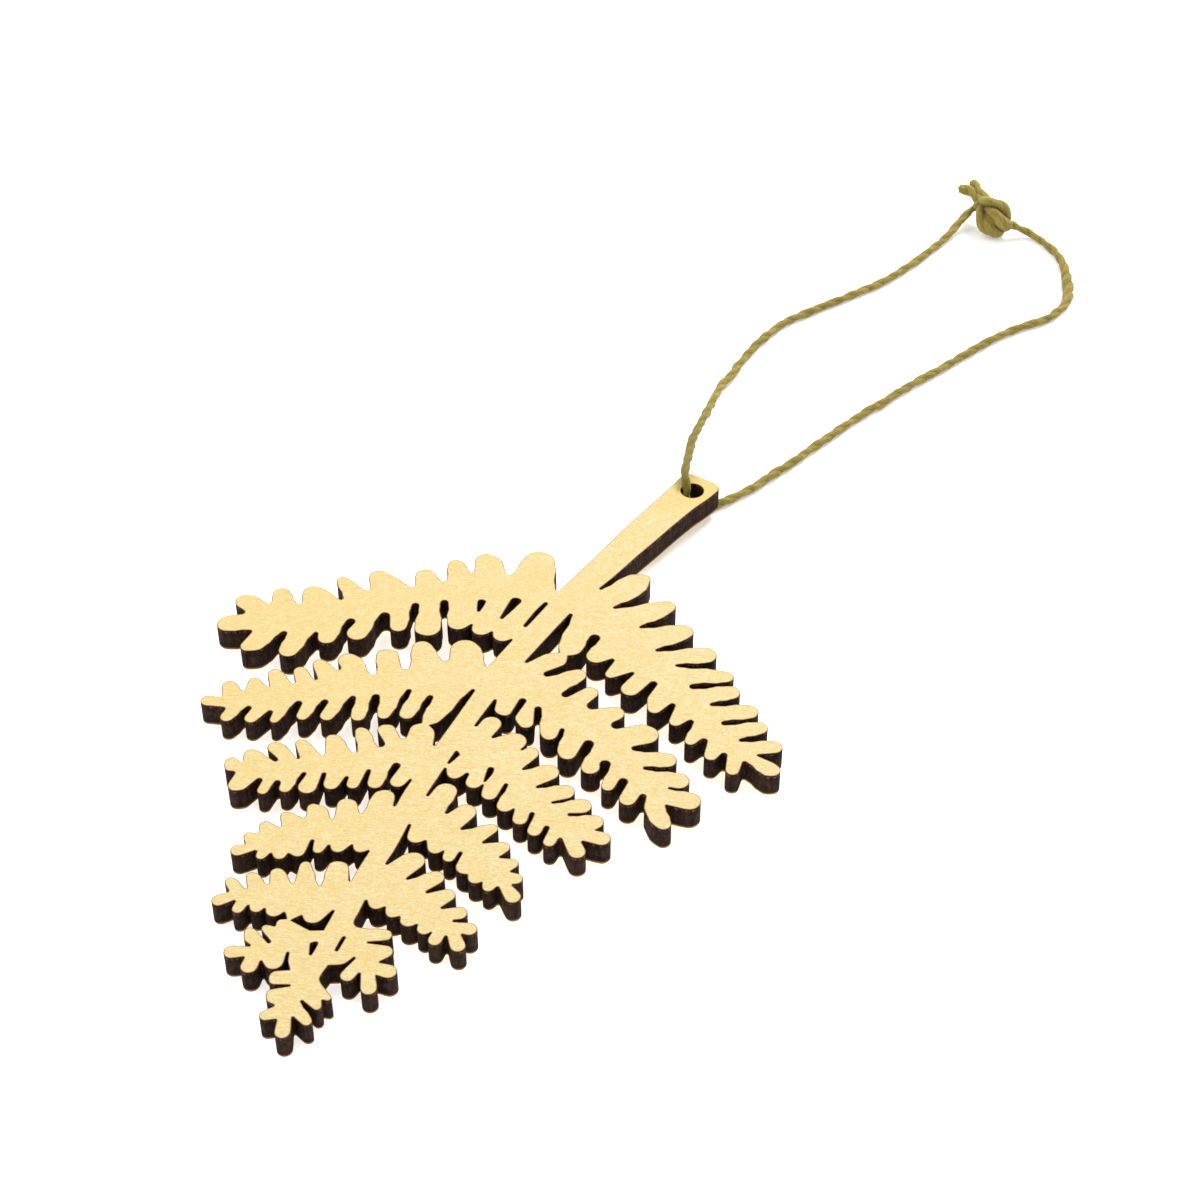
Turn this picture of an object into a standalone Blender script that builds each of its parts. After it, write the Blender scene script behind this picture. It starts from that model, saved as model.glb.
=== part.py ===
"""Flat wooden fern frond ornament with a knotted twine hanging loop.

Built in metres; the lists below are in millimetres. The frond is one sheet of
plywood cut to outline. It lies face up with its stem end resting on the twine
that runs underneath, so the sheet leans by under one degree.

Outline lists: every entry is (x, y, r) in mm, measured from the centre of the
hanging hole, with the frond running towards -Y. r above 0 is a rounded finger
end, r below 0 is the rounded bottom of a notch, r = 0 is a plain corner.
Neighbouring entries are joined by the line that touches both arcs; it is straight,
apart from a slight sway on the longer finger sides.
"""
import math

import bmesh
import bpy
from mathutils import Matrix, Vector

MM = 0.001
SHEET = 3.0            # plywood thickness
HOLE_R = 1.45          # hanging hole
TWINE_D = 1.1          # hanging twine
LIFT = 1.2             # underside of the stem end above the table
ARC_SAG = 0.045        # arcs are cut into chords this close to the true curve
SWAY_FROM = 2.4        # finger sides at least this long are not quite straight
SWAY = 0.028           # how far they bulge and draw in, as a share of their length
SWAY_MOST = 0.13       # but never further than this
SWAY_AT = (0.18, 0.34, 0.5, 0.66, 0.82)    # where along the side its points lie
CENTRE = (-5.5, -47.4)  # middle of the outline, becomes the origin

# the sheet rests on this edge, between two finger tips, and on the twine
REST_A = (-11.8, -90.7)
REST_B = (-0.8, -97.95)
REST_TWINE = (1.0, 1.2)

STEM_TOP = [(1.78, 1.47, 1.2), (-1.65, 2.35, 0.8)]
STEM_LEFT = [(-2.8, -0.6, 0), (-3.4, -4.0, 0), (-3.9, -7.0, 0), (-4.4, -10.0, 0),
             (-4.95, -14.0, 0), (-5.45, -18.0, 0), (-5.95, -21.5, 0)]
STEM_RIGHT = [(-1.55, -19.6, 0), (-1.07, -17.0, 0), (-0.73, -15.0, 0), (-0.04, -11.7, 0),
              (0.68, -8.0, 0), (1.31, -5.0, 0), (1.79, -3.0, 0), (2.43, -1.0, 0)]

LEFT_1 = [
    (-6.65, -24.75, -0.25), (-11.1, -21.2, 2.0), (-13.45, -24.45, -0.45),
    (-16.1, -24.1, 1.4), (-17.1, -23.85, 1.35), (-17.75, -26.3, -0.3),
    (-19.6, -26.3, 1.0), (-20.1, -26.15, 0.95), (-20.05, -29.25, -0.35),
    (-22.4, -29.65, 1.25), (-23.0, -31.8, -0.35), (-26.2, -32.75, 1.4),
    (-27.35, -32.35, 1.25), (-27.7, -34.75, -0.37), (-31.0, -34.9, 0.75),
    (-29.47, -37.81, -0.24), (-32.2, -38.6, 1.4), (-33.05, -38.5, 1.3),
    (-33.65, -40.65, -0.3), (-36.4, -40.3, 1.08), (-37.0, -42.2, -0.3),
    (-38.9, -43.4, 1.35), (-39.5, -43.4, 1.3), (-38.95, -45.27, -0.41),
    (-39.0, -47.4, 1.35), (-39.25, -47.75, 1.35), (-36.15, -47.85, -0.28),
    (-34.95, -50.05, 0.92), (-34.49, -49.25, 1.37), (-32.3, -46.3, -0.35),
    (-30.25, -48.5, 1.2), (-28.87, -44.65, -0.25), (-27.35, -44.6, 1.12),
    (-26.25, -40.97, -0.52), (-24.5, -42.3, 1.3), (-23.1, -38.3, -0.6),
    (-20.75, -39.05, 1.05), (-20.73, -35.0, -0.42), (-17.78, -38.08, 1.18),
    (-17.4, -37.74, 1.52), (-17.85, -33.0, -0.45), (-14.64, -35.34, 1.34),
    (-12.97, -35.1, -0.12), (-11.6, -35.1, 1.2), (-10.17, -35.2, -0.12),
    (-8.8, -34.9, 1.25), (-7.47, -35.35, -0.12), (-7.55, -38.0, 0)]

LEFT_2 = [
    (-7.85, -40.6, -0.15), (-11.03, -39.56, 1.71), (-11.6, -39.3, 1.72),
    (-12.95, -41.6, -0.48), (-15.98, -41.28, 1.11), (-16.3, -41.24, 1.18),
    (-16.4, -44.95, -0.45), (-19.05, -44.12, 1.07), (-19.65, -44.3, 0.95),
    (-19.25, -47.55, -0.35), (-22.2, -47.0, 1.1), (-23.03, -46.98, 1.2),
    (-23.35, -48.65, -0.3), (-25.2, -49.1, 0.8), (-25.6, -49.05, 0.85),
    (-24.8, -51.35, -0.22), (-26.6, -51.3, 0.75), (-27.05, -51.1, 0.8),
    (-26.85, -53.0, -0.25), (-28.88, -52.94, 0.83), (-29.45, -52.8, 0.85),
    (-29.1, -54.85, -0.15), (-30.5, -55.1, 0.7), (-30.95, -54.95, 0.7),
    (-31.35, -56.6, -0.2), (-32.8, -56.9, 0.8), (-33.2, -56.8, 0.8),
    (-33.2, -58.75, -0.2), (-34.0, -60.0, 0.88), (-31.7, -60.45, -0.3),
    (-30.55, -61.3, 0.8), (-29.1, -59.05, -0.33), (-27.95, -60.25, 0.8),
    (-26.5, -58.55, -0.3), (-25.39, -59.29, 0.58), (-24.35, -55.85, -0.4),
    (-22.85, -57.3, 0.75), (-21.75, -54.3, -0.38), (-20.35, -56.05, 0.85),
    (-19.2, -52.3, -0.33), (-17.15, -54.5, 0.88), (-16.9, -50.95, -0.42),
    (-14.62, -52.99, 0.79), (-13.98, -48.4, -0.28), (-12.3, -51.7, 0.95),
    (-11.23, -48.25, -0.33), (-9.43, -50.87, 1.15), (-10.12, -52.32, -0.08)]

LEFT_3 = [
    (-9.9, -53.5, 0.9), (-10.8, -55.2, -0.35), (-12.9, -55.0, 0.85),
    (-13.27, -55.16, 0.84), (-12.49, -57.36, -0.44), (-15.1, -56.7, 0.72),
    (-15.55, -56.6, 0.68), (-14.6, -59.6, -0.3), (-17.5, -59.0, 0.75),
    (-17.89, -59.1, 0.71), (-17.65, -61.55, -0.25), (-20.0, -61.35, 0.65),
    (-20.6, -61.3, 0.68), (-19.72, -63.35, -0.15), (-22.3, -63.2, 0.95),
    (-22.95, -63.1, 0.85), (-21.83, -64.74, -0.25), (-24.0, -65.3, 0.85),
    (-24.75, -65.25, 0.85), (-25.2, -66.55, -0.15), (-26.0, -67.3, 0.85),
    (-25.75, -67.9, 0.7), (-25.0, -68.65, -0.27), (-23.65, -70.05, 0.92),
    (-23.36, -69.75, 1), (-21.72, -68.33, -0.33), (-20.55, -69.4, 0.65),
    (-19.7, -67.75, -0.35), (-18.5, -68.0, 0.72), (-17.78, -65.25, -0.23),
    (-16.4, -66.75, 1.07), (-15.75, -64.3, -0.22), (-14.25, -65.2, 0.9),
    (-13.2, -63.65, -0.18), (-12.08, -64.17, 0.73), (-11.53, -61.68, -0.22),
    (-9.95, -62.9, 0.9), (-9.18, -59.6, -0.43), (-7.8, -61.6, 0.92),
    (-6.65, -60.85, -0.12), (-6.45, -62.6, 0)]

LEFT_4 = [
    (-6.28, -64.95, -0.12), (-7.9, -64.45, 1.2), (-8.02, -64.56, 1.22),
    (-9.05, -67.5, -0.17), (-10.8, -67.2, 0.95), (-11.13, -67.28, 0.98),
    (-11.5, -69.55, -0.2), (-13.03, -69.38, 0.81), (-14.1, -69.3, 0.7),
    (-14.35, -70.8, -0.22), (-15.6, -71.6, 0.65), (-16.2, -71.6, 0.6),
    (-15.95, -73.2, -0.15), (-17.0, -73.9, 0.7), (-17.4, -73.85, 0.7),
    (-17.62, -75.1, -0.12), (-18.15, -75.95, 0.62), (-18.05, -77.12, -0.12),
    (-18.1, -78.2, 0.85), (-16.3, -77.65, -0.22), (-15.45, -77.75, 0.6),
    (-14.6, -77.15, -0.13), (-13.75, -76.7, 0.78), (-12.85, -76.35, -0.15),
    (-12.2, -75.5, 0.8), (-11.6, -73.55, -0.18), (-10.4, -74.25, 0.62),
    (-9.6, -73.4, -0.15), (-8.65, -73.0, 0.85), (-7.42, -72.2, -0.1),
    (-6.45, -71.95, 0.83), (-5.42, -72.15, -0.12), (-5.15, -74.2, 0)]

LEFT_5 = [
    (-5.0, -76.6, -0.12), (-6.9, -75.7, 1.05), (-7.2, -75.74, 1.02),
    (-7.6, -78.55, -0.15), (-9.97, -77.35, 0.69), (-10.35, -76.95, 0.65),
    (-10.4, -79.45, -0.2), (-12.13, -79.25, 0.71), (-12.52, -79.2, 0.75),
    (-12.7, -80.8, -0.18), (-14.2, -80.8, 0.6), (-14.75, -80.75, 0.6),
    (-14.42, -82.38, -0.13), (-15.8, -82.5, 0.6), (-16.3, -82.4, 0.65),
    (-15.9, -83.65, -0.15), (-16.0, -85.15, 0.8), (-14.45, -84.6, -0.15),
    (-13.55, -85.25, 0.65), (-12.75, -84.5, -0.13), (-11.9, -84.2, 0.75),
    (-11.0, -84.1, -0.12), (-10.0, -83.7, 0.95), (-8.85, -83.65, -0.12),
    (-8.27, -84.16, -0.06)]

LEFT_6 = [
    (-8.4, -84.92, 0.51), (-8.85, -85.53, -0.1), (-9.4, -86.25, 0.52),
    (-8.18, -87.65, -0.18), (-10.16, -87.63, 0.67), (-10.72, -87.39, 0.58),
    (-10.3, -88.2, 0.5), (-9.75, -88.98, -0.12), (-10.9, -90.5, 0.87),
    (-9.4, -90.65, -0.12), (-8.25, -91.35, 0.9), (-7.45, -90.3, -0.12),
    (-6.3, -89.7, 1.03), (-5.6, -88.1, -0.12), (-5.05, -88.95, 0),
    (-4.35, -89.88, -0.08)]

END_TUFT = [
    (-4.95, -91.25, 0.8), (-4.9, -91.6, 0.7), (-3.2, -91.68, -0.1),
    (-4.15, -93.35, 0.65), (-3.9, -93.85, 0.6), (-3.3, -94.6, -0.12),
    (-3.3, -96.0, 0.65), (-2.08, -96.1, -0.15), (-0.66, -97, 0.83),
    (-0.65, -95.05, -0.12), (0.8, -94.8, 0.58), (-0.95, -92.85, -0.12),
    (0.74, -92.71, 0.5), (0.9, -91.85, -0.1), (1.15, -91.3, 0.4),
    (0.1, -89.05, -1.08), (-0.92, -87.7, -0.08)]

RIGHT_6 = [
    (-0.7, -86.0, 1.3), (0.88, -85.65, -0.12), (1.45, -87.91, 0.79),
    (2.42, -87.2, -0.12), (4.25, -88.4, 0.86), (4.15, -86.66, -0.08),
    (4.95, -85.6, 0.9), (3.55, -84.9, -0.08), (3.3, -83.5, 0.85),
    (1.12, -83.2, -0.08), (2.2, -81.55, 0.75), (-0.95, -81.1, -0.75),
    (-1.85, -80.0, 0)]

RIGHT_5 = [
    (-1.98, -78.4, -0.12), (-0.85, -78.1, 0.9), (0.22, -78.32, -0.1),
    (1.32, -78.44, 0.81), (2.25, -78.85, -0.15), (3.35, -78.7, 0.92),
    (4.45, -78.92, -0.1), (5.42, -79.0, 0.8), (6.3, -79.18, -0.06),
    (7.15, -79.85, 0.75), (7.98, -79.0, -0.15), (9.65, -79.46, 0.84),
    (9.37, -77.97, -0.1), (9.65, -76.95, 0.85), (7.7, -76.68, -0.13),
    (7.65, -75.5, 0.87), (5.7, -75.65, -0.13), (5.3, -73.9, 0.9),
    (3.2, -74.4, -0.15), (2.99, -72.27, 0.97), (0.4, -73.65, -0.15),
    (-0.31, -71.21, 1.26), (-0.5, -71.6, 1.45), (-2.68, -72.8, -0.13),
    (-2.9, -71.0, 0), (-3.1, -69.2, 0)]

RIGHT_4 = [
    (-3.32, -66.85, -0.13), (-1.85, -67.95, 1.0), (-0.6, -68.2, -0.15),
    (0.85, -68.5, 0.88), (1.87, -68.65, -0.1), (2.8, -69.05, 0.7),
    (3.65, -68.0, -0.18), (5.09, -69.49, 1.07), (5.78, -70.5, -0.12),
    (6.8, -70.4, 0.84), (7.7, -70.75, -0.08), (8.64, -70.93, 0.67),
    (9.6, -70.65, -0.18), (11.6, -71.0, 0.9), (10.87, -69.55, -0.1),
    (10.75, -68.6, 0.75), (9.83, -67.88, -0.1), (9.4, -66.85, 0.68),
    (7.8, -66.6, -0.1), (7.35, -65.25, 0.82), (5.15, -65.5, -0.12),
    (4.97, -63.33, 0.72), (2.1, -64.75, -0.15), (1.25, -62.42, 1.2),
    (-0.58, -63.4, -0.15), (-2.26, -60.69, 1.32), (-3.77, -62.0, -0.13),
    (-4.0, -60.3, 0)]

RIGHT_3 = [
    (-4.03, -57.6, -0.12), (-2.75, -57.65, 0.93), (-1.42, -57.25, -0.18),
    (-0.15, -58.0, 0.95), (0.93, -57.98, -0.08), (2.25, -58.8, 0.93),
    (3.25, -56.8, -0.2), (4.65, -59.6, 0.98), (5.75, -59.75, -0.1),
    (7.05, -60.71, 0.85), (7.9, -59.45, -0.24), (9.27, -61.54, 0.81),
    (10.28, -60.6, -0.28), (11.48, -62.29, 0.71), (12.4, -61.5, -0.22),
    (14.8, -62.25, 0.97), (14.79, -60.72, -0.17), (16.35, -59.35, 1.0),
    (15.25, -58.5, -0.06), (14.55, -57.5, 1.05), (11.62, -57.72, -0.17),
    (12.25, -55.95, 1.1), (9.15, -56.9, -0.13), (9.6, -54.85, 1.1),
    (6.55, -55.5, -0.15), (6.57, -52.99, 1.25), (3.85, -53.72, -0.13),
    (3.4, -51.2, 0.98), (2.25, -51.08, -0.1), (0.95, -50.3, 1.35),
    (0.66, -50.41, 1.31), (-1.6, -50.75, -0.15), (-2.83, -49.02, 1.22),
    (-4.25, -49.95, -0.15), (-4.4, -48.0, 0)]

RIGHT_2 = [
    (-4.25, -45.4, -0.15), (-2.75, -46.2, 1.0), (-2.4, -46.4, 0.8),
    (-1.38, -44.05, -0.4), (0.13, -46.43, 1.08), (0.65, -47.05, 0.88),
    (0.85, -44.45, -0.37), (3.49, -47.17, 0.92), (3.88, -47.49, 0.96),
    (4.9, -46.3, -0.23), (6.8, -48.9, 1.1), (7.1, -49.3, 1.05),
    (8.6, -47.0, -0.57), (10.4, -50.15, 1.1), (11.7, -49.05, -0.58),
    (13.46, -51.91, 0.78), (14.7, -50.6, -0.5), (16.29, -52.77, 0.98),
    (17.65, -51.7, -0.35), (19.4, -52.7, 1.05), (20.6, -53.95, 1.05),
    (21.4, -54.4, 0.9), (20.6, -51.82, -0.13), (22.5, -50.05, 1.33),
    (19.75, -49.22, -0.13), (20.2, -47.75, 1.2), (16.0, -47.6, -0.2),
    (17.65, -45.4, 1.1), (13.6, -45.3, -0.33), (13.8, -42.75, 1.45),
    (13.2, -42.7, 1.4), (10.1, -42.82, -0.58), (9.1, -41.2, 1.12),
    (6.2, -41.15, -0.6), (5.0, -39.4, 1.0), (2.6, -40.85, -0.45),
    (2.38, -37.35, 1.04), (-0.88, -38.72, -0.41), (-1.0, -36.1, 1.2)]

RIGHT_1 = [
    (-0.1, -34.88, -0.06), (-0.55, -33.3, 1.5), (1.3, -30.7, -0.6),
    (2.86, -33.37, 1.24), (4.85, -33.3, -0.27), (5.76, -35.44, 0.7),
    (7.95, -34.25, -0.2), (8.9, -36.7, 1.15), (10.95, -34.8, -0.42),
    (12.5, -37.0, 1.2), (12.8, -38.4, 0.85), (14.45, -37.1, -0.33),
    (15.88, -39.29, 0.78), (17.45, -38.65, -0.33), (18.72, -41.38, 0.71),
    (20.1, -40.8, -0.4), (21.75, -42.5, 0.8), (23.05, -41.85, -0.35),
    (24.85, -43.55, 0.8), (25.65, -41.95, -0.25), (28.4, -41.75, 1.0),
    (28.85, -41.6, 0.95), (28.3, -41.4, 0.95), (26.55, -40.15, -0.13),
    (27.6, -38.15, 1.0), (23.82, -38.79, -0.2), (24.87, -36.08, 1.02),
    (21, -37.1, -0.31), (22.75, -34.15, 1.15), (18.5, -34.9, -0.22),
    (19.59, -32.14, 1.12), (15.27, -33.15, -0.38), (18.05, -29.95, 0.92),
    (17.3, -30.1, 0.95), (12.1, -30.7, -0.17), (14.3, -27.6, 1.38),
    (8.9, -29.3, -0.2), (9.82, -26.02, 1.2), (10.25, -25.0, 1.27),
    (5.4, -26.45, -0.18), (5.75, -23.15, 1.44), (6.6, -21.75, 1.1),
    (1.05, -24.7, -0.17), (0.86, -21.06, 1.88), (1.2, -19.9, 1.85),
    (1.9, -18.4, 0.85), (1.0, -19.3, 1.35), (-2.02, -22.3, -0.15)]

OUTLINE = (STEM_TOP + STEM_LEFT + LEFT_1 + LEFT_2 + LEFT_3 + LEFT_4 + LEFT_5
           + LEFT_6 + END_TUFT + RIGHT_6 + RIGHT_5 + RIGHT_4 + RIGHT_3
           + RIGHT_2 + RIGHT_1 + STEM_RIGHT)

# closed slots: here r above 0 is a rounded slot corner
SLOTS = [
    [(-6.77, -27.75, 0.22), (-7.0, -29.5, 0.26), (-7.12, -32.35, 0.2)],
    [(-10.1, -28.85, 0.48), (-10.35, -28.9, 0.5), (-10.32, -32.35, 0.18)],
    [(-13.75, -30.8, 0.33), (-13.97, -30.87, 0.35), (-13.45, -32.4, 0.18)],
    [(-7.35, -45.05, 0.2), (-9.6, -50.9, -1.35), (-8.97, -52.28, 0.05),
     (-9.4, -54.15, -1.85), (-6.97, -54.75, 0.15)],
    [(-4.38, -81.15, 0.12), (-5.95, -82.5, -1.15), (-7.0, -83.2, 0.1),
     (-7.58, -84.1, 0.08), (-5.2, -84.38, 0.08), (-4.02, -83.75, 0.1)],
    [(-3.7, -85.72, 0.22), (-3.97, -85.97, 0.2), (-3.42, -87.15, 0.12)],
    [(-1.47, -83.75, 0.14), (-1.35, -84.4, 0.25), (-1.3, -85.5, 0.14)],
    [(-3.15, -28.25, 0.2), (-4.04, -37.9, 0.17), (-0.95, -37.2, -2.25),
     (-1.42, -34.78, 0.07), (-0.6, -33.2, -1.5)],
    [(-4.17, -54.72, 0.15), (-4.12, -56.55, 0.13), (-3.85, -54.98, 0.18)],
    [(0.6, -55.45, 0.34), (0.86, -57.3, 0.1), (0.78, -56.1, 0.27)],
]

# twine centreline: (x, y, height above the table) from the knot to the hole,
# down through it, under the stem and back to the knot
KNOT = (11.9, 83.45, 2.65)
KNOT_TURN = 25.7
KNOT_BODY = (2.1, 3.5, 2.15)
# ring wraps on the knot: (place along it, swing in degrees, radius)
KNOT_WRAPS = [(-1.7, 14.0, 1.8), (-0.1, -12.0, 2.1), (1.6, 10.0, 1.85)]
# the two cut ends, from the knot's middle, before it is turned
KNOT_TAILS = [
    [(-0.56, 1.6, 0.45), (-1.59, 3.21, 0.55), (-2.27, 5.09, 0.65), (-2.96, 6.19, 0.75),
     (-4.42, 6.84, 0.8)],
    [(0.13, 1.88, 0.85), (-0.84, 3.57, 0.95), (-1.58, 5.59, 1.05), (-2.0, 6.79, 1.1),
     (-2.18, 7.82, 1.15)]]
TWINE = [
    (8.48, 85.33, 2.31), (8.15, 84.9, 2.25), (7.6, 83.0, 1.85), (7.15, 80.6, 1.25),
    (6.5, 77.2, 0.7), (5.5, 72.6, 0.5), (4.9, 70.0, 0.5),
    (3.3, 64.5, 0.5), (1.45, 60.0, 0.5), (0.9, 59.1, 0.5), (-1.1, 55.4, 0.5),
    (-3.62, 50.9, 0.5), (-6.2, 45.8, 0.5), (-7.5, 40.0, 0.5), (-7.9, 33.1, 0.6),
    (-7.7, 31.7, 0.66), (-7.7, 29.0, 0.8), (-7.8, 26.8, 1.0),
    (-6.5, 19.2, 2.0), (-5.5, 14.1, 3.05), (-4.7, 10.45, 3.9), (-3.45, 6.5, 4.7),
    (-2.5, 3.6, 5.3), (-2.05, 2.2, 5.45), (-1.62, 1.2, 5.28), (-1.2, 0.5, 4.85),
    (-0.89, 0.08, 4.3), (-0.76, -0.18, 3.6), (-0.64, -0.42, 2.9), (-0.5, -0.48, 2.3),
    (-0.2, -0.25, 1.65), (0.22, 0.25, 1.05), (0.62, 0.75, 0.72), (1.0, 1.24, 0.56),
    (1.5, 2.0, 0.55), (2.4, 3.3, 0.5), (3.45, 5.1, 0.5), (4.55, 7.5, 0.5),
    (5.4, 9.6, 0.5), (5.97, 11.5, 0.5), (7.6, 16.3, 0.5), (8.9, 20.9, 0.5), (11.0, 27.6, 0.5),
    (12.4, 31.9, 0.5), (13.1, 33.2, 0.5), (13.5, 34.2, 0.5), (14.0, 36.2, 0.5),
    (15.9, 41.1, 0.5), (18.2, 46.6, 0.5), (20.4, 52.4, 0.5), (22.9, 57.9, 0.5),
    (25.4, 61.7, 0.5), (26.65, 63.4, 0.5), (27.6, 65.8, 0.5), (28.1, 69.8, 0.5),
    (26.45, 75.1, 0.5), (23.8, 80.2, 0.5), (20.2, 83.4, 0.5),
    (17.6, 84.6, 0.75), (16.1, 84.3, 1.3), (14.67, 83.64, 2.01)]


def remove_everything():
    for ob in list(bpy.data.objects):
        bpy.data.objects.remove(ob, do_unlink=True)


def arc_and_tangent_points(rings):
    """Points of the closed line that wraps the arcs in order."""
    count = len(rings)
    heads = []
    for i in range(count):
        ax, ay, ar = rings[i]
        bx, by, br = rings[(i + 1) % count]
        dist = math.hypot(bx - ax, by - ay)
        heads.append(math.atan2(by - ay, bx - ax) - math.asin((br - ar) / dist))
    points = []
    for i in range(count):
        x, y, r = rings[i]
        if r == 0:
            points.append((x, y))
            continue
        turn_in = heads[i - 1]
        turn = heads[i] - turn_in
        sign = 1.0 if r > 0 else -1.0
        while turn * sign < -0.02:
            turn += sign * math.tau
        while turn * sign > math.tau - 0.02:
            turn -= sign * math.tau
        step = min(math.radians(65.0), 2.0 * math.acos(1.0 - min(0.9, ARC_SAG / abs(r))))
        steps = max(1, math.ceil(abs(turn) / step))
        for k in range(steps + 1):
            a = turn_in + turn * k / steps - math.pi / 2
            points.append((x + r * math.cos(a), y + r * math.sin(a)))
        points += swayed_side(points[-1], heads[i], r, rings[(i + 1) % count])
    return points


def swayed_side(start, head, r, following):
    """Points between a finger end and a notch, whose side bulges a little and then draws in."""
    x, y, next_r = following
    out = (math.cos(head - math.pi / 2), math.sin(head - math.pi / 2))
    end = (x + next_r * out[0], y + next_r * out[1])
    length = math.hypot(end[0] - start[0], end[1] - start[1])
    if r * next_r >= 0 or length < SWAY_FROM:
        return []
    reach = min(SWAY_MOST, SWAY * length) * (1.0 if r > 0 else -1.0)
    side = []
    for t in SWAY_AT:
        lift = reach * 1.54 * math.sin(math.tau * t) * math.sin(math.pi * t) ** 2
        side.append((start[0] + (end[0] - start[0]) * t + out[0] * lift,
                     start[1] + (end[1] - start[1]) * t + out[1] * lift))
    return side


def circle_points(x, y, r, count):
    return [(x + r * math.cos(math.tau * k / count), y + r * math.sin(math.tau * k / count))
            for k in range(count)]


def smooth_route(knots, per_span):
    """Catmull-Rom curve through hand-placed points."""
    pts = [Vector(k) for k in knots]
    pts = [pts[0] * 2 - pts[1]] + pts + [pts[-1] * 2 - pts[-2]]
    out = []
    for i in range(1, len(pts) - 2):
        p0, p1, p2, p3 = pts[i - 1:i + 3]
        for k in range(per_span):
            t = k / per_span
            out.append(0.5 * (2 * p1 + (p2 - p0) * t
                              + (2 * p0 - 5 * p1 + 4 * p2 - p3) * t * t
                              + (3 * p1 - p0 - 3 * p2 + p3) * t * t * t))
    out.append(pts[-2])
    return out


def spaced(points, lying, threaded, near):
    """Route points a set distance apart, closer together near the hole."""
    out = [points[0]]
    gone = 0.0
    for a, b in zip(points, points[1:]):
        gone += (b - a).length
        at_hole = math.hypot(b.x, b.y) < near
        if gone >= (threaded if at_hole else lying):
            out.append(b)
            gone = 0.0
    if gone < lying / 2:
        out.pop()
    out.append(points[-1])
    return out


def mesh_from_curve(curve_object, name, coll):
    deps = bpy.context.evaluated_depsgraph_get()
    mesh = bpy.data.meshes.new_from_object(curve_object.evaluated_get(deps))
    mesh.transform(curve_object.matrix_world)
    mesh.name = name
    bpy.data.objects.remove(curve_object, do_unlink=True)
    bm = bmesh.new()
    bm.from_mesh(mesh)
    bmesh.ops.remove_doubles(bm, verts=bm.verts, dist=1e-6)
    bmesh.ops.recalc_face_normals(bm, faces=bm.faces)
    bm.to_mesh(mesh)
    bm.free()
    ob = bpy.data.objects.new(name, mesh)
    coll.objects.link(ob)
    return ob


def sheet_cut_to(name, loops, thickness, coll):
    """Flat plate from closed loops: the first is the rim, the rest are openings."""
    curve = bpy.data.curves.new(name + "_outline", "CURVE")
    curve.dimensions = "2D"
    curve.fill_mode = "BOTH"
    curve.extrude = thickness / 2 * MM
    for loop in loops:
        spline = curve.splines.new("POLY")
        spline.points.add(len(loop) - 1)
        spline.use_cyclic_u = True
        for point, (x, y) in zip(spline.points, loop):
            point.co = (x * MM, y * MM, 0.0, 1.0)
    ob = bpy.data.objects.new(name + "_outline", curve)
    coll.objects.link(ob)
    bpy.context.view_layer.update()
    return mesh_from_curve(ob, name, coll)


def tube(name, points, diameter, coll, cyclic=False):
    curve = bpy.data.curves.new(name + "_path", "CURVE")
    curve.dimensions = "3D"
    curve.bevel_depth = diameter / 2 * MM
    curve.bevel_resolution = 2
    curve.use_fill_caps = True
    spline = curve.splines.new("POLY")
    spline.points.add(len(points) - 1)
    spline.use_cyclic_u = cyclic
    for point, p in zip(spline.points, points):
        point.co = (p[0] * MM, p[1] * MM, p[2] * MM, 1.0)
    ob = bpy.data.objects.new(name + "_path", curve)
    coll.objects.link(ob)
    bpy.context.view_layer.update()
    return mesh_from_curve(ob, name, coll)


def lean():
    """Small turn about the resting edge that lifts the stem end onto the twine."""
    a = Vector((REST_A[0], REST_A[1], 0.0))
    along = (Vector((REST_B[0], REST_B[1], 0.0)) - a).normalized()
    inward = Vector((-along.y, along.x, 0.0))
    reach = (Vector((REST_TWINE[0], REST_TWINE[1], 0.0)) - a).dot(inward)
    turn = Matrix.Rotation(math.asin(LIFT / reach), 4, along)
    at_a = Matrix.Translation(a * MM)
    return at_a @ turn @ at_a.inverted()


def to_origin():
    return Matrix.Translation(Vector((-CENTRE[0], -CENTRE[1], 0.0)) * MM)


def plain_material(name, colour, roughness):
    mat = bpy.data.materials.new(name)
    mat.use_nodes = True
    bsdf = mat.node_tree.nodes["Principled BSDF"]
    bsdf.inputs["Base Color"].default_value = (*colour, 1.0)
    bsdf.inputs["Roughness"].default_value = roughness
    return mat


def join_into(base, other):
    mod = base.modifiers.new("join", "BOOLEAN")
    mod.operation = "UNION"
    mod.solver = "EXACT"
    mod.object = other
    bpy.context.view_layer.update()
    deps = bpy.context.evaluated_depsgraph_get()
    mesh = bpy.data.meshes.new_from_object(base.evaluated_get(deps))
    base.modifiers.clear()
    base.data = mesh
    bpy.data.objects.remove(other, do_unlink=True)


def build_plate(coll):
    loops = [arc_and_tangent_points(OUTLINE)]
    loops += [arc_and_tangent_points(s) for s in SLOTS]
    loops.append(circle_points(0.0, 0.0, HOLE_R, 28))
    plate = sheet_cut_to("fern_plate", loops, SHEET, coll)
    plate.data.transform(Matrix.Translation((0.0, 0.0, SHEET / 2 * MM)))
    plate.data.transform(to_origin() @ lean())
    return plate


def build_twine(coll):
    """One length of twine from knot to knot, threaded through the hole."""
    route = [Vector((p.x, p.y, max(p.z, TWINE_D / 2))) for p in smooth_route(TWINE, 12)]
    route = spaced(route, 3.15, 0.9, 6.5)
    loop = tube("twine_loop", route, TWINE_D, coll)
    loop.data.transform(to_origin())
    return loop


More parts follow.
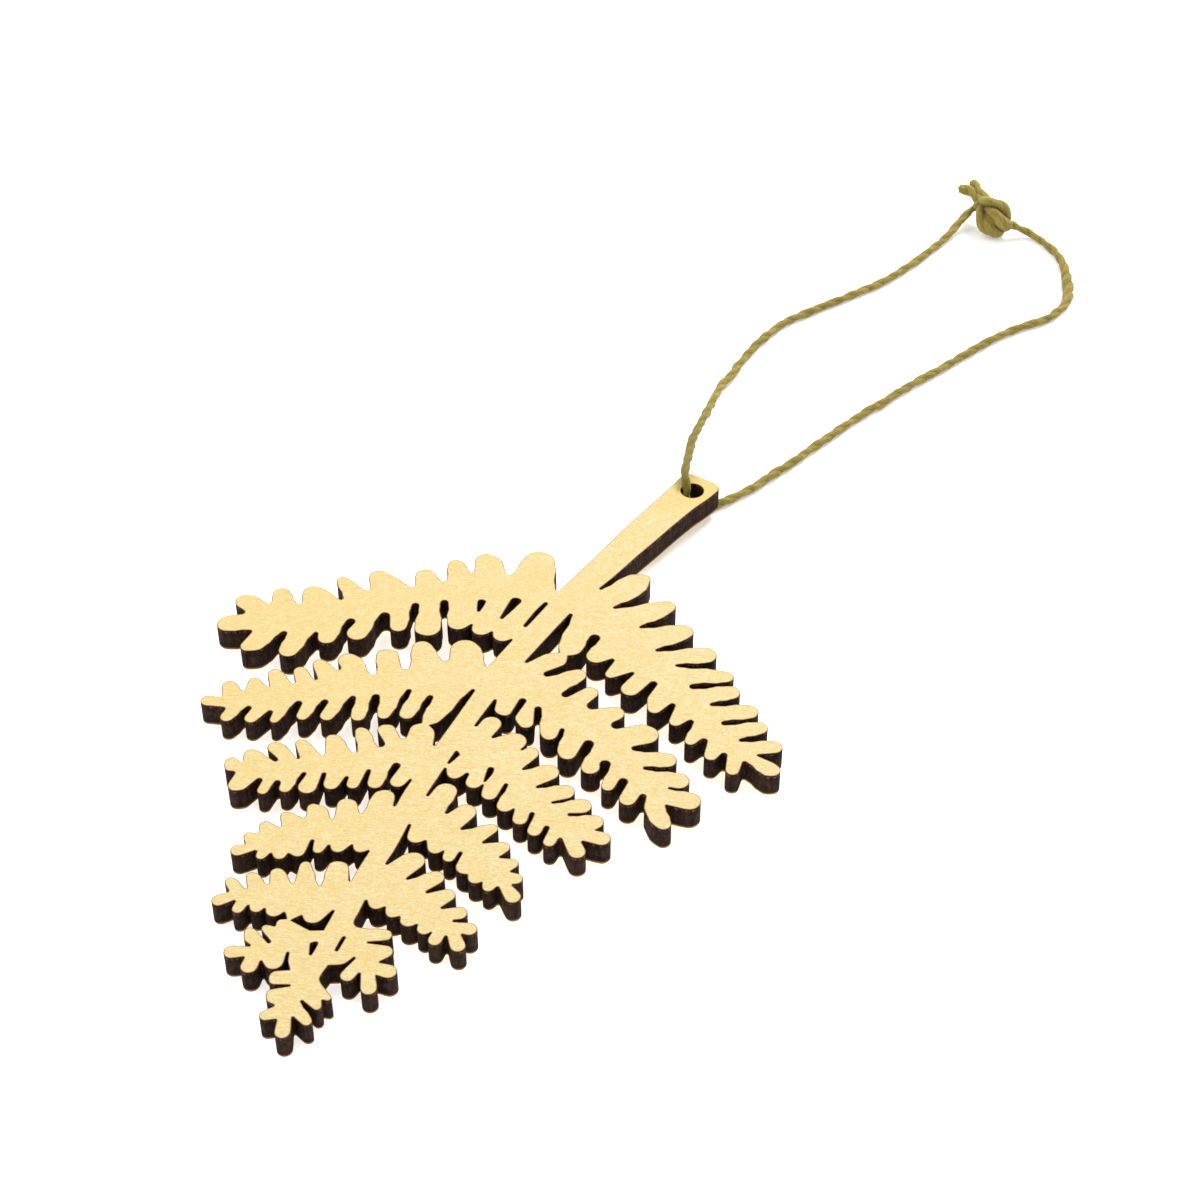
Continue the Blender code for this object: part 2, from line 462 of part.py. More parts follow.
def build_knot(coll):
    """Both strands pulled into one overhand knot, with two short cut tails."""
    bm = bmesh.new()
    bmesh.ops.create_icosphere(bm, subdivisions=3, radius=MM)
    bmesh.ops.scale(bm, vec=KNOT_BODY, verts=bm.verts)
    mesh = bpy.data.meshes.new("twine_knot")
    bm.to_mesh(mesh)
    bm.free()
    knot = bpy.data.objects.new("twine_knot", mesh)
    coll.objects.link(knot)
    for along, swing, size in KNOT_WRAPS:
        turn = Matrix.Rotation(math.radians(swing), 3, "Z")
        ring = [turn @ Vector((size * math.cos(math.tau * k / 20), 0.0,
                               size * math.sin(math.tau * k / 20))) for k in range(20)]
        wrap = tube("wrap", [(p.x, p.y + along, p.z) for p in ring], TWINE_D, coll, cyclic=True)
        join_into(knot, wrap)
    for points in KNOT_TAILS:
        tail = tube("tail", smooth_route(points, 3), TWINE_D, coll)
        join_into(knot, tail)
    place = Matrix.Translation(Vector(KNOT) * MM)
    knot.data.transform(to_origin() @ place @ Matrix.Rotation(math.radians(KNOT_TURN), 4, "Z"))
    return knot


def build():
    remove_everything()
    coll = bpy.data.collections.new("fern_ornament")
    bpy.context.scene.collection.children.link(coll)
    plate = build_plate(coll)
    loop = build_twine(coll)
    knot = build_knot(coll)
    plate.data.materials.clear()
    plate.data.materials.append(plain_material("plywood", (0.86, 0.68, 0.38), 0.6))
    loop.data.materials.clear()
    loop.data.materials.append(plain_material("twine", (0.30, 0.24, 0.08), 0.85))
    knot.data.materials.clear()
    knot.data.materials.append(plain_material("knot_twine", (0.27, 0.21, 0.07), 0.85))


build()
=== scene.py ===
"""Looks for the fern ornament: a laser-cut plywood frond on a knotted twine loop.

All places are in the object's own frame, in metres once multiplied by MM.
+Y runs up the frond to its hanging hole and +Z out of its show face.
"""
import math
import random

import bmesh
import bpy
from mathutils import Matrix, Vector


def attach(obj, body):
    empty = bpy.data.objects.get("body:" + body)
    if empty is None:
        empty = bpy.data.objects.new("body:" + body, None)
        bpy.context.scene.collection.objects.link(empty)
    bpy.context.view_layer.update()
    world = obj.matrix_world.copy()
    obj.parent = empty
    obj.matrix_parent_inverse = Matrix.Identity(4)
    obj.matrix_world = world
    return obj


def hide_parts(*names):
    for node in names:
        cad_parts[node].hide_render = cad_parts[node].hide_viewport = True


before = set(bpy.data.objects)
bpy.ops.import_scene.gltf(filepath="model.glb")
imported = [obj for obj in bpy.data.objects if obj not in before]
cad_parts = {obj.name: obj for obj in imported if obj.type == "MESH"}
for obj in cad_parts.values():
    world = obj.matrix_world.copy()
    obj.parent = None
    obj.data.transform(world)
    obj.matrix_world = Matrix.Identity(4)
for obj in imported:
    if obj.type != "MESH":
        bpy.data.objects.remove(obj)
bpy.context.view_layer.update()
MM = 0.001

SHEET = 3.0             # plywood thickness
RIM_ROUND = 0.05        # softened rim of the cut
SCORCH = 0.17           # browned margin on the faces beside the cut
TWINE = 1.1             # twine thickness
TWINE_PITCH = 5.6       # length of one full turn of the two plies
GRAIN_TURN = 25.0       # the face grain runs this far round from +X, in degrees
HOLE = (5.5, 47.4)      # middle of the hanging hole
KNOT = (17.4, 130.85, 2.65)    # middle of the knot
TABLE_GAP = 0.02        # the twine stays this far off the table top

# the route of the twine from the knot, through the hole and back, from the hole's middle
ROUTE = [
    (8.48, 85.33, 2.31), (8.15, 84.9, 2.25), (7.6, 83.0, 1.85), (7.15, 80.6, 1.25),
    (6.5, 77.2, 0.7), (5.5, 72.6, 0.5), (4.9, 70.0, 0.5),
    (3.3, 64.5, 0.5), (1.45, 60.0, 0.5), (0.9, 59.1, 0.5), (-1.1, 55.4, 0.5),
    (-3.62, 50.9, 0.5), (-6.2, 45.8, 0.5), (-7.5, 40.0, 0.5), (-7.9, 33.1, 0.6),
    (-7.7, 31.7, 0.66), (-7.7, 29.0, 0.8), (-7.8, 26.8, 1.0),
    (-6.5, 19.2, 2.0), (-5.5, 14.1, 3.05), (-4.7, 10.45, 3.9), (-3.45, 6.5, 4.7),
    (-2.5, 3.6, 5.3), (-2.05, 2.2, 5.45), (-1.62, 1.2, 5.28), (-1.2, 0.5, 4.85),
    (-0.89, 0.08, 4.3), (-0.76, -0.18, 3.6), (-0.64, -0.42, 2.9), (-0.5, -0.48, 2.3),
    (-0.2, -0.25, 1.65), (0.22, 0.25, 1.05), (0.62, 0.75, 0.72), (1.0, 1.24, 0.56),
    (1.5, 2.0, 0.55), (2.4, 3.3, 0.5), (3.45, 5.1, 0.5), (4.55, 7.5, 0.5),
    (5.4, 9.6, 0.5), (5.97, 11.5, 0.5), (7.6, 16.3, 0.5), (8.9, 20.9, 0.5), (11.0, 27.6, 0.5),
    (12.4, 31.9, 0.5), (13.1, 33.2, 0.5), (13.5, 34.2, 0.5), (14.0, 36.2, 0.5),
    (15.9, 41.1, 0.5), (18.2, 46.6, 0.5), (20.4, 52.4, 0.5), (22.9, 57.9, 0.5),
    (25.4, 61.7, 0.5), (26.65, 63.4, 0.5), (27.6, 65.8, 0.5), (28.1, 69.8, 0.5),
    (26.45, 75.1, 0.5), (23.8, 80.2, 0.5), (20.2, 83.4, 0.5),
    (17.6, 84.6, 0.75), (16.1, 84.3, 1.3), (14.67, 83.64, 2.01)]
INTO_KNOT = [(10.4, 85.6, 2.9), (9.3, 85.8, 2.55)]      # the over side, inside the knot
OUT_OF_KNOT = [(13.8, 83.1, 2.3), (13.0, 82.9, 2.6)]    # the under side, inside the knot


# ---------------------------------------------------------------- camera and studio

def look_from(place, right, down, ahead, lens):
    """The camera, from its place in mm and its three directions."""
    camera = bpy.data.objects.new("camera", bpy.data.cameras.new("camera"))
    camera.data.lens = lens
    camera.data.sensor_width = 36.0
    camera.data.clip_start = 0.01
    camera.data.clip_end = 20.0
    right, up, back = Vector(right), -Vector(down), -Vector(ahead)
    turn = Matrix((right, up, back)).transposed().to_4x4()
    camera.matrix_world = Matrix.Translation(Vector(place) * MM) @ turn
    bpy.context.scene.collection.objects.link(camera)
    bpy.context.scene.camera = camera


def softbox(name, place, aim, size, watts):
    """A round soft light that faces aim."""
    light = bpy.data.lights.new(name, "AREA")
    light.shape = "DISK"
    light.size = size
    light.energy = watts
    lamp = bpy.data.objects.new(name, light)
    lamp.location = place
    lamp.rotation_euler = (Vector(aim) - Vector(place)).to_track_quat("-Z", "Y").to_euler()
    bpy.context.scene.collection.objects.link(lamp)


# ---------------------------------------------------------------- shader wiring

class Wire:
    """A number socket that can be used in Python sums."""

    def __init__(self, finish, socket):
        self.finish = finish
        self.socket = socket

    def sum(self, operation, first, second):
        return self.finish.wire("ShaderNodeMath", {"operation": operation}, {0: first, 1: second})

    def __add__(self, other):
        return self.sum("ADD", self, other)

    def __radd__(self, other):
        return self.sum("ADD", other, self)

    def __sub__(self, other):
        return self.sum("SUBTRACT", self, other)

    def __rsub__(self, other):
        return self.sum("SUBTRACT", other, self)

    def __mul__(self, other):
        return self.sum("MULTIPLY", self, other)

    def __rmul__(self, other):
        return self.sum("MULTIPLY", other, self)


class Finish:
    """A material and the nodes that make it."""

    def __init__(self, name):
        self.material = bpy.data.materials.new(name)
        self.material.use_nodes = True
        self.tree = self.material.node_tree
        self.surface = self.tree.nodes["Principled BSDF"]

    def node(self, kind, settings=None, values=None):
        made = self.tree.nodes.new(kind)
        for key, value in (settings or {}).items():
            setattr(made, key, value)
        for key, value in (values or {}).items():
            self.feed(made.inputs[key], value)
        return made

    def wire(self, kind, settings=None, values=None, out=0):
        return Wire(self, self.node(kind, settings, values).outputs[out])

    def feed(self, socket, value):
        if isinstance(value, Wire):
            self.tree.links.new(value.socket, socket)
        elif isinstance(value, tuple) and len(value) == 3 and socket.type == "RGBA":
            socket.default_value = (*value, 1.0)
        else:
            socket.default_value = value

    def place(self, move=(0, 0, 0), turn=(0, 0, 0), scale=(1, 1, 1)):
        """Object coordinates, moved, turned and scaled for one pattern."""
        spot = self.wire("ShaderNodeTexCoord", out="Object")
        return self.wire("ShaderNodeMapping", {"vector_type": "POINT"},
                         {"Vector": spot, "Location": move, "Rotation": turn, "Scale": scale})

    def noise(self, where, scale=1.0, detail=2.0, rough=0.5):
        return self.wire("ShaderNodeTexNoise", {}, {"Vector": where, "Scale": scale,
                                                    "Detail": detail, "Roughness": rough})

    def band(self, value, low, high):
        """0 below low, 1 above high, smooth between."""
        return self.wire("ShaderNodeMapRange", {"interpolation_type": "SMOOTHSTEP"},
                         {"Value": value, "From Min": low, "From Max": high})

    def mix(self, amount, first, second):
        made = self.node("ShaderNodeMix", {"data_type": "RGBA"})
        self.feed(made.inputs[0], amount)
        self.feed(made.inputs[6], first)
        self.feed(made.inputs[7], second)
        return Wire(self, made.outputs[2])

    def set(self, **values):
        for key, value in values.items():
            self.feed(self.surface.inputs[key.replace("_", " ")], value)

    def bump(self, height, distance, strength=1.0):
        self.set(Normal=self.wire("ShaderNodeBump", {}, {"Height": height, "Distance": distance,
                                                         "Strength": strength}))


def birch_face():
    """Pale rotary-cut birch: fine straight fibres, short brown flecks, warm clouds."""
    wood = Finish("birch_face")
    turn = (0.0, 0.0, -math.radians(GRAIN_TURN))
    sway = wood.noise(wood.place(turn=turn, scale=(60, 260, 60)), detail=1.0)
    turned = wood.place(turn=turn)
    bent = wood.wire("ShaderNodeVectorMath", {"operation": "ADD"},
                     {0: turned, 1: wood.wire("ShaderNodeCombineXYZ", {}, {"Y": (sway - 0.5) * 0.0016})})

    def grain(length, width, detail=2.0, rough=0.55):
        stretched = wood.wire("ShaderNodeVectorMath", {"operation": "MULTIPLY"},
                              {0: bent, 1: (1000 / length, 1000 / width, 1000 / width)})
        return wood.noise(stretched, detail=detail, rough=rough)

    fibres = grain(0.95, 0.15, 3.0, 0.65)
    clouds = grain(7.0, 3.6, 2.0)
    rings = grain(22.0, 2.0, 1.0)
    flecks = wood.band(grain(1.0, 0.22, 1.0), 0.62, 0.72)
    pores = wood.band(grain(0.45, 0.14, 0.0), 0.70, 0.80)
    mottle = wood.noise(wood.place(scale=(1000, 1000, 1000)), scale=1.4, detail=3.0, rough=0.7)
    fine = wood.noise(wood.place(scale=(1000, 1000, 1000)), scale=4.2, detail=1.0)
    pale = wood.mix(wood.band(clouds, 0.3, 0.7), (0.629, 0.522, 0.230), (0.672, 0.602, 0.380))
    warm = wood.mix(wood.band(mottle, 0.40, 0.62) * 0.95, pale, (0.645, 0.458, 0.142))
    bright = wood.mix(wood.band(fine, 0.42, 0.62) * 0.92, warm, (0.708, 0.655, 0.462))
    lined = wood.mix(wood.band(fibres, 0.32, 0.66) * 0.72, (0.589, 0.436, 0.167), bright)
    ringed = wood.mix(wood.band(rings, 0.5, 0.75) * 0.22, lined, (0.637, 0.485, 0.202))
    place = wood.node("ShaderNodeSeparateXYZ", {}, {0: wood.place()})
    across, along = Wire(wood, place.outputs[0]), Wire(wood, place.outputs[1])
    leafy = wood.mix(wood.band(across, 0.010, -0.040) * 0.44, ringed, (0.632, 0.470, 0.163))
    stem_end = wood.band(along + across * 0.4, 0.040, 0.051)
    toned = wood.mix(stem_end * 0.55, leafy, (0.642, 0.450, 0.108))
    flecked = wood.mix(flecks * 0.44, toned, (0.579, 0.351, 0.128))
    pored = wood.mix(pores * 0.30, flecked, (0.52, 0.30, 0.10))
    scorch = wood.wire("ShaderNodeAttribute", {"attribute_name": "scorch"}, out="Fac")
    speckle = wood.noise(wood.place(scale=(1000, 1000, 1000)), scale=1.3, detail=2.0)
    burnt = wood.band(scorch + (speckle - 0.5) * 0.5, 0.15, 1.05)
    wood.set(Base_Color=wood.mix(burnt * 0.93, pored, (0.16, 0.07, 0.022)))
    wood.set(Roughness=0.52 + fibres * 0.16)
    wood.bump(fibres * 0.6 - flecks * 0.5 - pores * 0.6, 0.00004, 0.6)
    wood.surface.inputs["Specular IOR Level"].default_value = 0.35
    return wood.material


def charred_edge(up, floor):
    """Laser-burnt cut: soot-brown with fine upright lines and three faint ply bands."""
    char = Finish("charred_edge")
    spot = char.wire("ShaderNodeTexCoord", out="Object")
    lifted = char.wire("ShaderNodeVectorMath", {"operation": "DOT_PRODUCT"},
                       {0: spot, 1: tuple(up)}, out="Value")
    height = (lifted - floor) * 1000.0
    upright = char.noise(char.place(scale=(1000, 1000, 240)), scale=2.9, detail=2.0, rough=0.6)
    coarse = char.noise(char.place(scale=(1000, 1000, 60)), scale=0.75, detail=1.0)
    fine = char.noise(char.place(scale=(1000, 1000, 1000)), scale=2.6, detail=3.0)
    soot = char.mix(char.band(upright * 0.32 + coarse * 0.28 + fine * 0.4, 0.36, 0.68),
                    (0.0105, 0.0050, 0.0032), (0.046, 0.0225, 0.0145))
    wave = (coarse - 0.5) * 0.5 + (fine - 0.5) * 0.25
    middle = char.band(height + wave, 0.95, 1.1) * (1.0 - char.band(height + wave, 1.9, 2.05))
    plied = char.mix(middle * char.band(upright, 0.35, 0.75) * 0.35, soot, (0.072, 0.042, 0.030))
    near_top = char.band(height, 2.55, 2.66) * (1.0 - char.band(height, 2.76, 2.86))
    dashes = near_top * char.band(upright, 0.50, 0.62)
    dashed = char.mix(dashes * 0.80, plied, (0.170, 0.095, 0.050))
    near_base = 1.0 - char.band(height + wave * 0.35, 0.12, 0.36)
    based = char.mix(near_base * (0.45 + upright * 0.75), dashed, (0.36, 0.215, 0.095))
    rim = char.band(height, 2.90, 2.99)
    char.set(Base_Color=char.mix(rim * 0.7, based, (0.13, 0.058, 0.02)))
    char.set(Roughness=0.62 + upright * 0.25)
    char.bump(upright * 0.7 + fine * 0.3, 0.00006, 0.8)
    char.surface.inputs["Specular IOR Level"].default_value = 0.06
    return char.material


def olive_twine(name, dim=1.0, shaded=0.0):
    """Matt olive yarn: fine fibres along each ply; painted shade in the groove between plies, where
    strands press into each other, and (as much as shaded asks) on stretches raised off the table.
    """
    yarn = Finish(name)
    uv = yarn.wire("ShaderNodeUVMap", {"uv_map": "lay"})
    split = yarn.node("ShaderNodeSeparateXYZ", {}, {0: uv})
    along, groove = Wire(yarn, split.outputs[0]), Wire(yarn, split.outputs[1])
    drawn = yarn.wire("ShaderNodeCombineXYZ", {}, {"X": along * 0.9, "Y": groove * 6.5, "Z": 0.0})
    fibres = yarn.noise(drawn, scale=1.6, detail=3.0, rough=0.6)
    blotch = yarn.noise(yarn.place(scale=(1000, 1000, 1000)), scale=0.42, detail=2.0)
    hairs = yarn.noise(yarn.place(scale=(1000, 1000, 1000)), scale=5.0, detail=2.0)
    base = yarn.mix(yarn.band(blotch, 0.34, 0.68), (0.262 * dim, 0.208 * dim, 0.041 * dim),
                    (0.392 * dim, 0.296 * dim, 0.074 * dim))
    strands = yarn.mix(yarn.band(fibres, 0.30, 0.66), (0.205 * dim, 0.151 * dim, 0.026 * dim), base)
    bright = yarn.mix(yarn.band(hairs, 0.58, 0.78) * 0.35, strands,
                      (0.46 * dim, 0.39 * dim, 0.13 * dim))
    # painted shade in the groove between the two plies
    groove_shade = 1.0 - yarn.band(groove, 0.0, 0.50)
    groove_shaded = yarn.mix(groove_shade * 0.42, bright, (0.111 * dim, 0.078 * dim, 0.012 * dim))
    # painted crevice shade where the knot's strands press into each other
    pressed = yarn.wire("ShaderNodeAttribute", {"attribute_name": "pressed"}, out="Fac")
    crevice_shaded = yarn.mix(pressed * 0.85, groove_shaded, (0.040, 0.026, 0.004))
    spot = yarn.node("ShaderNodeSeparateXYZ", {}, {0: yarn.place()})
    # painted shade on the twine where it is raised off the table near the hole
    raised_shade = yarn.band(Wire(yarn, spot.outputs[2]), 0.0018, 0.0045)
    yarn.set(Base_Color=yarn.mix(raised_shade * shaded, crevice_shaded, (0.125, 0.098, 0.016)))
    yarn.set(Roughness=0.80 + fibres * 0.15)
    yarn.bump(fibres * 0.7 + hairs * 0.3, 0.00010, 0.9)
    yarn.surface.inputs["Specular IOR Level"].default_value = 0.2
    yarn.surface.inputs["Sheen Weight"].default_value = 0.25
    yarn.surface.inputs["Sheen Roughness"].default_value = 0.5
    yarn.surface.inputs["Sheen Tint"].default_value = (0.9, 0.85, 0.5, 1.0)
    return yarn.material


def table_top():
    """White table with a painted glow: warm and stronger under the leafy part, standing in for light
    bounced off the wood, fainter beyond.
    """
    top = Finish("white_table")
    top.set(Base_Color=(0.93, 0.93, 0.93), Roughness=0.35)
    # painted glow: a pool of warm light under the leafy part, fainter further from it
    reach = top.wire("ShaderNodeVectorMath", {"operation": "LENGTH"},
                     {0: top.place(move=(-0.0015, 0.020, 0.0))}, out="Value")
    painted_glow = top.mix(top.band(reach, 0.049, 0.058), (0.66, 0.63, 0.61), (0.24, 0.235, 0.235))
    top.set(Emission_Color=painted_glow)
    top.surface.inputs["Emission Strength"].default_value = 1.0
    return top.material


# ---------------------------------------------------------------- mesh helpers

def new_piece(name, bm, materials):
    """Turns the bmesh into a piece that stands at the origin."""
    mesh = bpy.data.meshes.new(name)
    bm.to_mesh(mesh)
    bm.free()
    for material in materials:
        mesh.materials.append(material)
    piece = bpy.data.objects.new(name, mesh)
    bpy.context.scene.collection.objects.link(piece)
    return piece


def smooth_route(knots, per_span):
    """Catmull-Rom curve through the route's points."""
    pts = [Vector(k) for k in knots]
    pts = [pts[0] * 2 - pts[1]] + pts + [pts[-1] * 2 - pts[-2]]
    out = []
    for i in range(1, len(pts) - 2):
        p0, p1, p2, p3 = pts[i - 1:i + 3]
        for k in range(per_span):
            t = k / per_span
            out.append(0.5 * (2 * p1 + (p2 - p0) * t
                              + (2 * p0 - 5 * p1 + 4 * p2 - p3) * t * t
                              + (3 * p1 - p0 - 3 * p2 + p3) * t * t * t))
    out.append(pts[-2])
    return out


def evenly(points, step):
    """The same line with its points a steady distance apart."""
    lengths = [0.0]
    for a, b in zip(points, points[1:]):
        lengths.append(lengths[-1] + (b - a).length)
    count = max(2, round(lengths[-1] / step))
    out = []
    j = 0
    for k in range(count + 1):
        want = lengths[-1] * k / count
        while j < len(points) - 2 and lengths[j + 1] < want:
            j += 1
        out.append(points[j].lerp(points[j + 1], (want - lengths[j]) / (lengths[j + 1] - lengths[j])))
    return out


def wobble(s, seed):
    """A slow repeatable unevenness between -1 and 1 along the twine."""
    return (math.sin(s * 0.83 + seed) + math.sin(s * 1.97 + seed * 2.3)
            + 0.6 * math.sin(s * 4.1 + seed * 5.1)) / 2.6


# ---------------------------------------------------------------- twine

PLY_R = 0.445           # one ply's radius
PLY_OUT = 0.135         # how far a ply's middle is from the twine's middle
AROUND = 28             # points round the twine
STEP = 0.2              # length between its rings of points
TAPER_STEPS = 3         # an end narrows over this many rings
CAP_TONE = 0.6          # a cut end is this far between the groove's painted shade and the ply in colour
OPENED_AT = (32.2, 121.0)    # the twist has come loose at the far bend of the loop
OPENED_REACH = 5.0
OPENED_SWELL = 0.5
ARM_HAIRS = 60
TAIL_HAIRS = 26


def two_ply_radius(angle):
    """How far out the surface of two plies lying side by side is."""
    c, s = math.cos(angle), math.sin(angle)
    return PLY_OUT * abs(c) + math.sqrt(max(PLY_R ** 2 - (PLY_OUT * s) ** 2, 0.0))


def frames_along(points):
    """The way ahead and a steady sideways direction at each point."""
    ahead = [(b - a).normalized() for a, b in zip(points, points[1:])]
    ahead = [ahead[0]] + [(a + b).normalized() for a, b in zip(ahead, ahead[1:])] + [ahead[-1]]
    side = ahead[0].orthogonal().normalized()
    sides = [side]
    for a, b in zip(ahead, ahead[1:]):
        side = (a.rotation_difference(b) @ side)
        side = (side - b * side.dot(b)).normalized()
        sides.append(side)
    return ahead, sides


def twist_into(bm, points, seed, thick=1.0, pitch=TWINE_PITCH, taper=(1.0, 1.0)):
    """Adds one closed run of two-ply twine along points, in mm."""
    count = len(points) - 1
    step = (points[1] - points[0]).length
    ahead, sides = frames_along(points)
    layer = bm.loops.layers.uv["lay"]
    old = set(bm.verts)
    made = bmesh.ops.create_grid(bm, x_segments=count, y_segments=AROUND, size=0.5)["verts"]
    where = {}
    for vert in made:
        i = round((vert.co.x + 0.5) * count)
        where[vert] = (i, round((vert.co.y + 0.5) * AROUND))
    for face in {f for v in made for f in v.link_faces}:
        for loop in face.loops:
            i, j = where[loop.vert]
            loop[layer].uv = (i * step, abs(math.cos(math.tau * j / AROUND)))
    for vert in made:
        i, j = where[vert]
        s = i * step
        on_ply = math.tau * j / AROUND
        around = on_ply + math.tau * s / pitch + 0.5 * wobble(s * 0.6, seed + 3.0)
        opened = math.exp(-((points[i].xy - Vector(OPENED_AT)).length / OPENED_REACH) ** 2)
        fat = thick * (1.0 + 0.12 * wobble(s * 0.7, seed) + OPENED_SWELL * opened)
        ends = 1.0
        if i < TAPER_STEPS:
            ends = taper[0] + (1.0 - taper[0]) * i / TAPER_STEPS
        elif i > count - TAPER_STEPS:
            ends = taper[1] + (1.0 - taper[1]) * (count - i) / TAPER_STEPS
        r = fat * ends * (two_ply_radius(on_ply) + 0.008 * math.sin(9 * on_ply + 5 * s))
        out = sides[i] * math.cos(around) + ahead[i].cross(sides[i]) * math.sin(around)
        vert.co = (points[i] + out * r) * MM
    bmesh.ops.remove_doubles(bm, verts=made, dist=1e-7)
    fresh = [v for v in bm.verts if v not in old]
    rims = [e for e in bm.edges if e.is_boundary and e.verts[0] not in old]
    caps = bmesh.ops.holes_fill(bm, edges=rims, sides=0)["faces"]
    bmesh.ops.recalc_face_normals(bm, faces=list({f for v in fresh for f in v.link_faces}))
    for face in caps:
        for loop in face.loops:
            loop[layer].uv = (0.0, CAP_TONE)


def hair_into(bm, root, way, length, thick):
    """One loose fibre."""
    turn = Vector((0, 0, 1)).rotation_difference(way.normalized()).to_matrix().to_4x4()
    bmesh.ops.create_cone(
        bm, cap_ends=True, segments=3, radius1=thick * MM, radius2=thick * 0.3 * MM,
        depth=length * MM,
        matrix=Matrix.Translation((root + way.normalized() * length * 0.42) * MM) @ turn)


def new_twine_mesh():
    """An empty mesh with the map that the yarn's finish follows."""
    bm = bmesh.new()
    bm.loops.layers.uv.new("lay")
    return bm


def rest_on_table(bm):
    """Smooth shading, and nothing pressed through the table top."""
    for vert in bm.verts:
        vert.co.z = max(vert.co.z, TABLE_GAP * MM)
    for face in bm.faces:
        face.smooth = True


def at_hole(point):
    """A route point in the object's frame, never pressed into the table."""
    return Vector((point[0] + HOLE[0], point[1] + HOLE[1], max(point[2], TWINE / 2)))


def lay_arms(material):
    """The two sides of the loop, each from the hole to the knot."""
    knots = INTO_KNOT + ROUTE + OUT_OF_KNOT
    whole = evenly([at_hole(p) for p in smooth_route(knots, 12)], STEP)
    middle = min(range(len(whole)), key=lambda i: (whole[i] - Vector((*HOLE, 2.4))).length)
    arms = []
    chance = random.Random(7)
    for name, points in (("twine_over", whole[:middle + 1][::-1]), ("twine_under", whole[middle:])):
        seed = 1.0 + len(arms) * 4.0
        uneven = [p + Vector((0.05 * wobble(i * STEP, seed), 0.05 * wobble(i * STEP, seed + 9), 0.0))
                  for i, p in enumerate(points)]
        bm = new_twine_mesh()
        sign = 1.0 if name == "twine_under" else -1.0
        twist_into(bm, uneven, seed)
        for _ in range(ARM_HAIRS):
            i = chance.randrange(25, len(points) - 3)
            ahead = (points[i + 1] - points[i]).normalized()
            out = Vector((chance.uniform(-1, 1), chance.uniform(-1, 1), chance.uniform(-0.1, 1)))
            out = (out - ahead * out.dot(ahead)).normalized()
            way = out * chance.uniform(0.35, 1.0) + ahead * sign * chance.uniform(0.3, 1.3)
            hair_into(bm, uneven[i] + out * 0.42, way, chance.uniform(0.25, 0.6), 0.015)
        rest_on_table(bm)
        arm = new_piece(name, bm, [material])
        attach(arm, "root")
        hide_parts("twine_loop")
        arms.append((arm, points))
    return arms


KNOT_PITCH = 9.0        # the strands are flattened and pulled straighter in the knot
TAIL_THICK = 1.36       # the cut ends have fluffed out
# the strands of the knot, from its middle, and how thick each is
KNOT_STRANDS = [
    ([(-3.1, 1.9, -0.15), (-2.45, 1.35, 0.85), (-1.5, 0.6, 1.7), (-0.5, 0.2, 2.15), (0.68, 0.4, 1.91),
      (1.37, 0.52, 0.93), (1.38, 0.74, -0.37), (0.71, 0.83, -1.31)], 1.85),
    ([(-1.07, 1.27, 0.18), (-1.77, 0.38, 0.59), (-1.47, -0.88, 0.18), (-0.82, -1.69, -0.54),
      (0.18, -1.62, -1.24), (0.92, -0.85, -1.57), (1.03, 0.21, -1.47), (0.16, 0.81, -1.1)], 1.95),
    ([(-1.35, -0.03, 0.92), (-0.25, -0.76, 1.22), (0.78, -1.04, 1.04), (1.51, -0.96, 0.24),
      (2.0, -0.48, -0.47), (2.76, 0.3, -1.09)], 1.7),
    ([(-1.57, 0.4, -0.43), (-0.83, 1.35, -0.38), (0.25, 1.71, 0.32), (1.04, 1.35, 0.96)], 2.0),
    ([(-2.7, 2.2, 0.3), (-2.0, 1.75, 0.5), (-1.1, 1.1, 0.6), (-0.2, 0.6, 0.6)], 1.9)]
KNOT_TAILS = [
    [(-1.2, 1.2, 0.45), (-2.82, 2.2, 0.55), (-4.25, 3.6, 0.65), (-5.35, 4.3, 0.75),
     (-6.95, 4.25, 0.8)],
    [(-0.7, 1.75, 0.85), (-2.3, 2.85, 0.95), (-3.85, 4.35, 1.05), (-4.75, 5.25, 1.1),
     (-5.35, 6.1, 1.15)]]


def paint_crevice_shade(bm, layer, strands):
    """Marks how close each point is to another strand, where the strands bite into each other; the
    yarn's finish paints shade there.
    """
    others = [(p, 0.5 * thick, number) for number, run, thick in strands for p in run[::3]]
    for vert in bm.verts:
        spot = vert.co / MM
        gaps = {}
        for point, radius, number in others:
            gaps[number] = min(gaps.get(number, 9.0), (spot - point).length - radius)
        second = sorted(gaps.values())[1]
        vert[layer] = min(1.0, max(0.0, 1.1 - second / 0.55))


